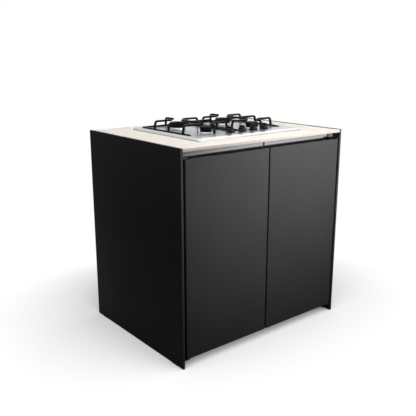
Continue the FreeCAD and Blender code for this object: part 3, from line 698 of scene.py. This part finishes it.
def makeCrownTree():
    # ring wall with teeth round its top, the gaps between them are the flame ports
    tree, start, finish = groupTree(
        "portedCrown", "GeometryNodeTree",
        [("Radius", "Float"), ("Wall", "Float"), ("Height", "Float"), ("Port Height", "Float"),
         ("Port Width", "Float"), ("Ports", "Int"), ("Finish", "Material")],
        [("Geometry", "Geometry")],
    )
    wallWidth = start.outputs["Wall"]
    portHeight = start.outputs["Port Height"]
    wallHalf = mathNode(tree, "MULTIPLY", wallWidth, 0.5)
    middleRadius = mathNode(tree, "SUBTRACT", start.outputs["Radius"], wallHalf)
    ringHeight = mathNode(tree, "SUBTRACT", start.outputs["Height"], portHeight)
    circle = tree.nodes.new("GeometryNodeCurvePrimitiveCircle")
    circle.inputs["Resolution"].default_value = burnerSetup["crownSteps"]
    link(tree, middleRadius, circle.inputs["Radius"])
    section = tree.nodes.new("GeometryNodeCurvePrimitiveQuadrilateral")
    link(tree, wallWidth, section.inputs["Width"])
    link(tree, ringHeight, section.inputs["Height"])
    wall = tree.nodes.new("GeometryNodeCurveToMesh")
    wall.inputs["Fill Caps"].default_value = True
    link(tree, circle.outputs["Curve"], wall.inputs["Curve"])
    link(tree, section.outputs["Curve"], wall.inputs["Profile Curve"])
    ring = liftNode(tree, wall.outputs["Mesh"], mathNode(tree, "MULTIPLY", ringHeight, 0.5))
    teethLine = tree.nodes.new("GeometryNodeCurvePrimitiveCircle")
    link(tree, start.outputs["Ports"], teethLine.inputs["Resolution"])
    link(tree, middleRadius, teethLine.inputs["Radius"])
    turnLength = mathNode(tree, "MULTIPLY", middleRadius, 2 * math.pi)
    pitch = mathNode(tree, "DIVIDE", turnLength, start.outputs["Ports"])
    toothSize = tree.nodes.new("ShaderNodeCombineXYZ")
    link(tree, wallWidth, toothSize.inputs["X"])
    link(tree, mathNode(tree, "SUBTRACT", pitch, start.outputs["Port Width"]), toothSize.inputs["Y"])
    link(tree, portHeight, toothSize.inputs["Z"])
    tooth = tree.nodes.new("GeometryNodeMeshCube")
    link(tree, toothSize.outputs[0], tooth.inputs["Size"])
    tangent = tree.nodes.new("GeometryNodeInputTangent")
    aim = tree.nodes.new("FunctionNodeAlignRotationToVector")
    aim.axis = "Y"
    aim.pivot_axis = "Z"
    link(tree, tangent.outputs[0], aim.inputs["Vector"])
    spread = tree.nodes.new("GeometryNodeInstanceOnPoints")
    link(tree, teethLine.outputs["Curve"], spread.inputs["Points"])
    link(tree, tooth.outputs["Mesh"], spread.inputs["Instance"])
    link(tree, aim.outputs["Rotation"], spread.inputs["Rotation"])
    portMiddle = mathNode(tree, "ADD", ringHeight, mathNode(tree, "MULTIPLY", portHeight, 0.5))
    teeth = liftNode(tree, spread.outputs["Instances"], portMiddle)
    joined = tree.nodes.new("GeometryNodeJoinGeometry")
    link(tree, teeth, joined.inputs[0])
    link(tree, ring, joined.inputs[0])
    endTree(tree, start, finish, joined.outputs[0])
    return tree


def treeMesh(tree, values, base=None):
    # runs one tree on a helper object and hands back a plain mesh
    helper = helperObject(base or bpy.data.meshes.new("treeBase"))
    modifier = helper.modifiers.new("shape", "NODES")
    modifier.node_group = tree
    for item in tree.interface.items_tree:
        if item.item_type == "SOCKET" and item.in_out == "INPUT" and item.name in values:
            modifier[item.identifier] = values[item.name]
    return shapedMesh(helper)


def makeCrowns():
    tree = makeCrownTree()
    bm = bmesh.new()
    for x, y, radius in burners.values():
        part = treeMesh(tree, {
            "Radius": radius,
            "Wall": burnerSetup["crownWall"],
            "Height": burnerSetup["crownHeight"],
            "Port Height": burnerSetup["portHeight"],
            "Port Width": burnerSetup["portWidth"],
            "Ports": 2 * int(math.pi * radius / burnerSetup["portPitch"]),
            "Finish": materials["burnerEnamel"],
        })
        part.transform(Matrix.Translation((x, y, ringTop)))
        bm.from_mesh(part)
    bmesh.ops.recalc_face_normals(bm, faces=bm.faces)
    finishPiece(meshFrom(bm), "burnerCrowns", "cabinet", "burner_black", ["flame_rings"])


makeBurnerBases()
makeCrowns()
makeCap("rearCaps", ("rearLeft", "rearRight"), ["rear_burner_caps"])
makeCap("frontLeftCap", ("frontLeft",), ["front_left_burner_cap"])
makeCap("frontRightCap", ("frontRight",), ["front_right_burner_cap"])
print("burners made:", len(burners))


# pan supports of bent square bar
supportSetup = {
    "bar": 0.008,
    "finger": 0.009,
    "lean": 0.007,
    "rearLean": 0.001,
    "tip": 0.033,
    "bend": 0.011,
    "baseBend": 0.004,
    "tieBend": 0.001,
    "bendSteps": 8,
    "edge": 0.0018,
    "edgeShare": 0.3,
    "edgeSteps": 3,
    "endEdge": 0.0012,
    "endCorners": 8,
    "crossShift": -0.003,
    "frontShift": 0.004,
    "tieWidth": 0.006,
    "tieHeight": 0.0025,
    "nose": 0.013,
    "noseBand": 0.0001,
    "noseFlat": 0.05,
    "sharpAngle": 50,
}


def makeBarTree():
    # square bar with soft edges swept along bent paths
    tree, start, finish = groupTree(
        "bentBar", "GeometryNodeTree",
        [("Geometry", "Geometry"), ("Width", "Float"), ("Height", "Float"), ("Edge", "Float"),
         ("Bend", "Float"), ("Finish", "Material")],
        [("Geometry", "Geometry")],
    )
    lines = tree.nodes.new("GeometryNodeMeshToCurve")
    bends = tree.nodes.new("GeometryNodeFilletCurve")
    section = tree.nodes.new("GeometryNodeCurvePrimitiveQuadrilateral")
    softened = tree.nodes.new("GeometryNodeFilletCurve")
    for node, steps in ((bends, supportSetup["bendSteps"]), (softened, supportSetup["edgeSteps"])):
        node.mode = "POLY"
        node.inputs["Count"].default_value = steps
        node.inputs["Limit Radius"].default_value = True
    link(tree, start.outputs["Geometry"], lines.inputs["Mesh"])
    link(tree, lines.outputs["Curve"], bends.inputs["Curve"])
    link(tree, start.outputs["Bend"], bends.inputs["Radius"])
    link(tree, start.outputs["Width"], section.inputs["Width"])
    link(tree, start.outputs["Height"], section.inputs["Height"])
    link(tree, section.outputs["Curve"], softened.inputs["Curve"])
    link(tree, start.outputs["Edge"], softened.inputs["Radius"])
    sweep = tree.nodes.new("GeometryNodeCurveToMesh")
    sweep.inputs["Fill Caps"].default_value = True
    link(tree, bends.outputs["Curve"], sweep.inputs["Curve"])
    link(tree, softened.outputs["Curve"], sweep.inputs["Profile Curve"])
    endTree(tree, start, finish, sweep.outputs["Mesh"])
    return tree


barTree = makeBarTree()


def pathMesh(paths):
    mesh = bpy.data.meshes.new("paths")
    points = []
    edges = []
    for path in paths:
        first = len(points)
        points += [tuple(p) for p in path]
        edges += [(first + k, first + k + 1) for k in range(len(path) - 1)]
    mesh.from_pydata(points, edges, [])
    return mesh


def slopeNoses(bm, front, bottom):
    # the two base bars run down to the tie at their front ends
    limit = bottom + supportSetup["tieHeight"]
    for vert in bm.verts:
        if vert.co.y < front + supportSetup["noseBand"] and vert.co.z > limit:
            vert.co.z = limit + (vert.co.z - limit) * supportSetup["noseFlat"]


def softenEnds(bm):
    caps = [face for face in bm.faces if len(face.verts) > supportSetup["endCorners"]]
    edges = {edge for face in caps for edge in face.edges}
    bmesh.ops.bevel(bm, geom=list(edges), offset=supportSetup["endEdge"], segments=2, profile=0.5,
                    affect="EDGES")


def makeSupport(side):
    low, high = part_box(side + "_pan_support")
    centre, rearY = burners["rear" + side.capitalize()][:2]
    frontY = burners["front" + side.capitalize()][1]
    bar = supportSetup["bar"]
    finger = supportSetup["finger"]
    lean = supportSetup["lean"]
    tip = supportSetup["tip"]
    tieWidth = supportSetup["tieWidth"]
    tieHeight = supportSetup["tieHeight"]
    left = low.x + finger / 2
    right = high.x - finger / 2
    rear = high.y - finger / 2
    front = low.y
    barZ = low.z + bar / 2
    top = high.z - finger / 2
    crossY = (rearY + frontY) / 2 + supportSetup["crossShift"]
    tieY = front + tieWidth / 2
    tieZ = low.z + tieHeight / 2
    noseEnd = front + supportSetup["nose"]
    base = [[(left, front, barZ), (left, noseEnd, barZ), (left, rear, barZ), (right, rear, barZ),
             (right, noseEnd, barZ), (right, front, barZ)]]
    tie = [[(left, tieY, tieZ), (right, tieY, tieZ)]]
    fingers = [
        [(centre, rear, barZ), (centre, rear - supportSetup["rearLean"], top), (centre, rearY + tip, top)],
        [(centre, tieY, tieZ), (centre, tieY, top), (centre, frontY - tip, top)],
        [(left, crossY, barZ), (left + lean, crossY, top), (right - lean, crossY, top),
         (right, crossY, barZ)],
        [(centre, frontY + tip, top), (centre, rearY - tip, top)],
    ]
    for y in (rearY, frontY - supportSetup["frontShift"]):
        fingers.append([(left, y, barZ), (left + lean, y, top), (centre - tip, y, top)])
        fingers.append([(right, y, barZ), (right - lean, y, top), (centre + tip, y, top)])
    bm = bmesh.new()
    for paths, width, height, bend in (
        (base, bar, bar, supportSetup["baseBend"]),
        (tie, tieWidth, tieHeight, supportSetup["tieBend"]),
        (fingers, finger, finger, supportSetup["bend"]),
    ):
        part = treeMesh(barTree, {
            "Width": width,
            "Height": height,
            "Edge": min(supportSetup["edge"], height * supportSetup["edgeShare"]),
            "Bend": bend,
            "Finish": materials["supportEnamel"],
        }, pathMesh(paths))
        bm.from_mesh(part)
    slopeNoses(bm, front, low.z)
    bmesh.ops.recalc_face_normals(bm, faces=bm.faces)
    softenEnds(bm)
    finishPiece(meshFrom(bm), side + "PanStand", side + "_support", "support_black", [side + "_pan_support"],
                supportSetup["sharpAngle"])


for side in sides:
    makeSupport(side)
print("pan supports made")


# control knobs
knobSetup = {
    "skirtHeight": 0.004,
    "baseRadius": 0.017,
    "baseRise": 0.0006,
    "topRadius": 0.014,
    "topRise": 0.0008,
    "rounds": (0, 0.0004, 0.0004, 0.0006, 0.0012, 0.0015, 0.002, 0),
    "gripHeight": 0.008,
    "gripWidth": 0.009,
    "gripInset": 0.0004,
    "gripSink": 0.003,
    "gripEdge": 0.0018,
    "gripSegments": 4,
    "hollowRadius": 0.011,
    "hollowDepth": 0.003,
}


def makeKnob(number):
    node = "knob_%d" % number
    low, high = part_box(node)
    centre = middle(node)
    radius = (high.x - low.x) / 2
    shoulder = low.z + knobSetup["skirtHeight"]
    top = high.z - knobSetup["gripHeight"]
    hollow = knobSetup["hollowRadius"]
    roof = low.z + knobSetup["hollowDepth"]
    outline = softOutline(
        [(0, roof), (hollow, roof), (hollow, low.z), (radius, low.z), (radius, shoulder),
         (knobSetup["baseRadius"], shoulder + knobSetup["baseRise"]), (knobSetup["topRadius"], top),
         (0, top + knobSetup["topRise"])],
        knobSetup["rounds"],
    )
    bm = bmesh.new()
    addTurned(bm, outline, (centre.x, centre.y, 0))
    weldMesh(bm)
    reach = knobSetup["topRadius"] - knobSetup["gripInset"]
    half = knobSetup["gripWidth"] / 2
    addSlab(bm, (centre.x - half, centre.y - reach, top - knobSetup["gripSink"]),
            (centre.x + half, centre.y + reach, high.z), knobSetup["gripEdge"], knobSetup["gripSegments"])
    finishPiece(meshFrom(bm), "controlKnob%d" % number, "knob_set_%d" % number, "knob_plastic", [node])


for number in knobNumbers:
    makeKnob(number)
print("knobs made")


# rings under the knobs
bezelSetup = {"bore": 0.009, "round": 0.0007}


def makeBezels():
    low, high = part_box("knob_bezels")
    radius = (high.y - low.y) / 2
    bore = bezelSetup["bore"]
    half = (low.z + high.z) / 2
    outline = softOutline(
        [(bore, half), (bore, low.z), (radius, low.z), (radius, high.z), (bore, high.z), (bore, half)],
        bezelSetup["round"],
    )
    bm = bmesh.new()
    for number in knobNumbers:
        centre = middle("knob_%d" % number)
        addTurned(bm, outline, (centre.x, centre.y, 0))
    weldMesh(bm)
    finishPiece(meshFrom(bm), "knobRings", "cabinet", "hob_steel", ["knob_bezels"])


makeBezels()
print("knob rings made")


# hose grommet in the back panel
grommetSetup = {"bore": 0.018, "lip": 0.003, "neck": 0.022, "lipRound": 0.0012, "neckRound": 0.0002}


def makeGrommet():
    low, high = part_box("hose_grommet")
    centre = middle("hose_grommet")
    outer = (high.x - low.x) / 2
    bore = grommetSetup["bore"]
    neck = grommetSetup["neck"]
    inside = low.y + grommetSetup["lip"]
    outside = high.y - grommetSetup["lip"]
    half = (low.y + high.y) / 2
    lips = [grommetSetup["lipRound"]] * 3
    necks = [grommetSetup["neckRound"]] * 2
    outline = softOutline(
        [(bore, half), (bore, low.y), (outer, low.y), (outer, inside), (neck, inside), (neck, outside),
         (outer, outside), (outer, high.y), (bore, high.y), (bore, half)],
        [0, *lips, *necks, *lips, 0],
    )
    bm = bmesh.new()
    addTurned(bm, outline, (centre.x, 0, centre.z), axis="Y")
    weldMesh(bm)
    finishPiece(meshFrom(bm), "hoseGrommet", "cabinet", "black_rubber", ["hose_grommet"])


makeGrommet()
print("grommet made")


# magnet catches behind the doors
catchSetup = {
    "margin": 0.004,
    "edge": 0.0012,
    "inset": 0.003,
    "poleGap": 0.006,
    "poleDepth": 0.0008,
    "poleReach": 0.004,
    "poleHeight": 0.002,
    "poleEdge": 0.0003,
}


def makeCatches():
    low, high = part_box("magnet_catches")
    plateLow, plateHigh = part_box("left_strike_plate")
    width = plateHigh.x - plateLow.x + catchSetup["margin"]
    inset = catchSetup["inset"]
    bm = bmesh.new()
    for x0, x1 in ((low.x, low.x + width), (high.x - width, high.x)):
        addSlab(bm, (x0, low.y + catchSetup["poleDepth"], low.z), (x1, high.y, high.z), catchSetup["edge"])
        for k in (0, 1):
            z0 = low.z + inset + k * catchSetup["poleGap"]
            addSlab(bm, (x0 + inset, low.y, z0),
                    (x1 - inset, low.y + catchSetup["poleReach"], z0 + catchSetup["poleHeight"]),
                    catchSetup["poleEdge"], 1)
    finishPiece(meshFrom(bm), "doorCatches", "cabinet", "black_plastic", ["magnet_catches"])


makeCatches()
print("catches made")


# fixing screws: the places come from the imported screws, the heads are domed with a cross recess
screwSetup = {
    "dome": 0.0007,
    "rimDrop": 1.6,
    "crest": 0.6,
    "crestDrop": 0.3,
    "rounds": (0, 0.0002, 0.0008, 0.001, 0),
    "steps": 24,
    "slotWidth": 0.0009,
    "slotLength": 0.0046,
    "slotDepth": 0.0012,
    "slotReach": 0.002,
    "slotEdge": 0.0001,
    "endBand": 1e-5,
    "headShare": 0.97,
    "placeDigits": 4,
}


def screwIslands(bm):
    # the points of each separate screw
    waiting = set(bm.verts)
    while waiting:
        stack = [waiting.pop()]
        island = []
        while stack:
            vert = stack.pop()
            island.append(vert.co.copy())
            for edge in vert.link_edges:
                other = edge.other_vert(vert)
                if other in waiting:
                    waiting.remove(other)
                    stack.append(other)
        yield island


def screwPlaces():
    # top of the head, outward direction, head radius and head height of each screw
    bm = bmesh.new()
    bm.from_mesh(cadNodes["fixing_screws"].data)
    bmesh.ops.remove_doubles(bm, verts=bm.verts, dist=meshSetup["weld"])
    places = []
    for island in screwIslands(bm):
        low = Vector(min(p[i] for p in island) for i in range(3))
        high = Vector(max(p[i] for p in island) for i in range(3))
        size = high - low
        along = max(range(3), key=lambda i: size[i])
        across = (along + 1) % 3
        centre = (low + high) / 2
        ends = {}
        for sign, level in ((-1, low[along]), (1, high[along])):
            ends[sign] = max(abs(p[across] - centre[across]) for p in island
                             if abs(p[along] - level) < screwSetup["endBand"])
        sign = max(ends, key=lambda key: ends[key])
        aim = Vector((0, 0, 0))
        aim[along] = sign
        tip = centre.copy()
        tip[along] = high[along] if sign > 0 else low[along]
        widest = max(abs(p[across] - centre[across]) for p in island)
        head = [abs(p[along] - tip[along]) for p in island
                if abs(p[across] - centre[across]) > widest * screwSetup["headShare"]]
        places.append((tip, aim, widest, max(head)))
    bm.free()
    # the islands come in no fixed order, so the places are sorted
    return sorted(places, key=lambda place: [round(value, screwSetup["placeDigits"]) for value in place[0]])


def makeScrewHead(radius, height):
    dome = screwSetup["dome"]
    outline = softOutline(
        [(0, -height), (radius, -height), (radius, -dome * screwSetup["rimDrop"]),
         (radius * screwSetup["crest"], -dome * screwSetup["crestDrop"]), (0, 0)],
        screwSetup["rounds"],
    )
    bm = bmesh.new()
    addTurned(bm, outline, (0, 0, 0), screwSetup["steps"])
    weldMesh(bm)
    head = meshFrom(bm)
    length = screwSetup["slotLength"] / 2
    width = screwSetup["slotWidth"] / 2
    slots = []
    for x, y in ((length, width), (width, length)):
        bm = bmesh.new()
        addSlab(bm, (-x, -y, -screwSetup["slotDepth"]), (x, y, screwSetup["slotReach"]),
                screwSetup["slotEdge"], 1)
        slots.append(meshFrom(bm))
    return carved(head, slots)


def makeScrewTree():
    # one head on each point, turned to the point's own direction
    tree, start, finish = groupTree(
        "screwRow", "GeometryNodeTree",
        [("Geometry", "Geometry"), ("Head", "Object"), ("Finish", "Material")],
        [("Geometry", "Geometry")],
    )
    head = tree.nodes.new("GeometryNodeObjectInfo")
    aim = tree.nodes.new("GeometryNodeInputNamedAttribute")
    aim.data_type = "FLOAT_VECTOR"
    aim.inputs["Name"].default_value = "aim"
    turn = tree.nodes.new("FunctionNodeAlignRotationToVector")
    turn.axis = "Z"
    spread = tree.nodes.new("GeometryNodeInstanceOnPoints")
    link(tree, start.outputs["Head"], head.inputs["Object"])
    link(tree, aim.outputs["Attribute"], turn.inputs["Vector"])
    link(tree, start.outputs["Geometry"], spread.inputs["Points"])
    link(tree, head.outputs["Geometry"], spread.inputs["Instance"])
    link(tree, turn.outputs["Rotation"], spread.inputs["Rotation"])
    endTree(tree, start, finish, spread.outputs["Instances"])
    return tree


def makeScrews():
    places = screwPlaces()
    head = helperObject(makeScrewHead(places[0][2], places[0][3]))
    points = bpy.data.meshes.new("screwPoints")
    points.from_pydata([tuple(place[0]) for place in places], [], [])
    aim = points.attributes.new("aim", "FLOAT_VECTOR", "POINT")
    for item, place in zip(aim.data, places):
        item.vector = place[1]
    made = treeMesh(makeScrewTree(), {"Head": head, "Finish": materials["darkSteel"]}, points)
    bpy.data.objects.remove(head)
    finishPiece(made, "screwHeads", "cabinet", "dark_steel", ["fixing_screws"])
    print("screws made:", len(places))


makeScrews()


# studio: pale floor, soft lamps, white surroundings
studio = {
    "floorSize": 40.0,
    "floorTone": 0.12,
    "floorGlow": 0.985,
    "floorBounce": 0.12,
    # painted shadow on the floor's glow, darker close to the part
    "contactReach": 0.7,
    "contactFrom": 0.22,
    "contactLean": 45.0,
    "contactTurn": -20.0,
    "fadeStart": 1.3,
    "fadeEnd": 2.6,
    # painted reflection: a dark patch in the floor's glow that only reflections see
    "paintedReflectionPlace": (1.9, -4.44, 0.0),
    "paintedReflectionInner": 0.5,
    "paintedReflectionOuter": 1.95,
    "paintedReflectionTone": 0.1,
    "worldFill": 0.06,
    "topPower": 28.8,
    "topPlace": (-0.3, -0.2, 2.6),
    "topAim": (-0.3, -0.15, 0.0),
    "topSize": (0.3, 2.4),
    "topSpread": 180.0,
    "keyPower": 4.45,
    "keyPlace": (0.7, -2.2, 1.55),
    "keyAim": (0.28, -0.34, 1.02),
    "keySize": (1.0, 0.7),
    "keySpread": 50.0,
    "sidePower": 9.0,
    "sidePlace": (2.1, 0.9, 3.0),
    "sideAim": (0.0, -0.2, 0.9),
    "sideSize": (1.4, 1.4),
    "sideSpread": 180.0,
}


def floorShade(tree, tone):
    shade = tree.nodes.new("ShaderNodeBsdfDiffuse")
    shade.inputs["Color"].default_value = (tone, tone, tone, 1.0)
    return shade.outputs[0]


def makeFloor():
    bm = bmesh.new()
    bmesh.ops.create_grid(bm, x_segments=1, y_segments=1, size=studio["floorSize"] / 2)
    floor = bpy.data.objects.new("studioFloor", meshFrom(bm, "studioFloor"))
    scene.collection.objects.link(floor)
    material = bpy.data.materials.new("studioFloor")
    material.use_nodes = True
    tree = material.node_tree
    tree.nodes.clear()
    path = tree.nodes.new("ShaderNodeLightPath")
    cameraRay = path.outputs["Is Camera Ray"]
    place = tree.nodes.new("ShaderNodeTexCoord").outputs["Object"]
    # painted shadow: the floor's glow is darker close to the part, measured about a direction that leans to
    # the front left
    lean = math.radians(studio["contactLean"])
    turn = math.radians(studio["contactTurn"])
    aim = tree.nodes.new("ShaderNodeCombineXYZ")
    aim.inputs["X"].default_value = math.sin(turn) * math.sin(lean)
    aim.inputs["Y"].default_value = -math.cos(turn) * math.sin(lean)
    aim.inputs["Z"].default_value = math.cos(lean)
    contact = tree.nodes.new("ShaderNodeAmbientOcclusion")
    contact.inputs["Distance"].default_value = studio["contactReach"]
    link(tree, aim.outputs[0], contact.inputs["Normal"])
    paintedShadowTone = rangeNode(tree, contact.outputs["AO"], (studio["contactFrom"], 1.0),
                            (0.0, studio["floorGlow"]))
    glow = tree.nodes.new("ShaderNodeEmission")
    link(tree, paintedShadowTone, glow.inputs["Strength"])
    near = tree.nodes.new("ShaderNodeAddShader")
    link(tree, floorShade(tree, studio["floorTone"]), near.inputs[0])
    link(tree, glow.outputs[0], near.inputs[1])
    # far off the floor is white; far in front lies a painted reflection, a dark patch in the floor's glow
    # that only reflections see
    apart = distanceNode(tree, place, studio["paintedReflectionPlace"])
    paintedReflection = rangeNode(tree, apart, (studio["paintedReflectionInner"], studio["paintedReflectionOuter"]), (studio["paintedReflectionTone"], 1.0))
    white = tree.nodes.new("ShaderNodeEmission")
    link(tree, mathNode(tree, "MAXIMUM", cameraRay, paintedReflection), white.inputs["Strength"])
    distance = distanceNode(tree, place, (0.0, 0.0, 0.0))
    fade = rangeNode(tree, distance, (studio["fadeStart"], studio["fadeEnd"]), (0.0, 1.0))
    fade.node.interpolation_type = "SMOOTHSTEP"
    whole = shaderMix(tree, fade, near.outputs[0], white.outputs[0])
    # other rays meet a dark matt floor, which throws little light back
    seen = mathNode(tree, "MAXIMUM", cameraRay, path.outputs["Is Glossy Ray"])
    shown = shaderMix(tree, seen, floorShade(tree, studio["floorBounce"]), whole)
    output = tree.nodes.new("ShaderNodeOutputMaterial")
    link(tree, shown, output.inputs["Surface"])
    floor.data.materials.append(material)


def makeWorld():
    world = bpy.data.worlds.new("studio")
    scene.world = world
    world.use_nodes = True
    tree = world.node_tree
    tree.nodes.clear()
    path = tree.nodes.new("ShaderNodeLightPath")
    seen = mathNode(tree, "MAXIMUM", path.outputs["Is Camera Ray"], path.outputs["Is Glossy Ray"])
    through = mathNode(tree, "MAXIMUM", seen, path.outputs["Is Transmission Ray"])
    shades = []
    for strength in (studio["worldFill"], 1.0):
        shade = tree.nodes.new("ShaderNodeBackground")
        shade.inputs["Color"].default_value = (1.0, 1.0, 1.0, 1.0)
        shade.inputs["Strength"].default_value = strength
        shades.append(shade.outputs[0])
    output = tree.nodes.new("ShaderNodeOutputWorld")
    link(tree, shaderMix(tree, through, *shades), output.inputs["Surface"])


def makeLamp(name):
    place = Vector(studio[name + "Place"])
    data = bpy.data.lights.new(name + "Lamp", "AREA")
    data.shape = "RECTANGLE"
    data.size, data.size_y = studio[name + "Size"]
    data.energy = studio[name + "Power"]
    data.spread = math.radians(studio[name + "Spread"])
    lamp = bpy.data.objects.new(name + "Lamp", data)
    scene.collection.objects.link(lamp)
    lamp.location = place
    lamp.rotation_mode = "QUATERNION"
    lamp.rotation_quaternion = (Vector(studio[name + "Aim"]) - place).to_track_quat("-Z", "Y")


makeFloor()
makeWorld()
for name in ("top", "key", "side"):
    makeLamp(name)
print("studio set")
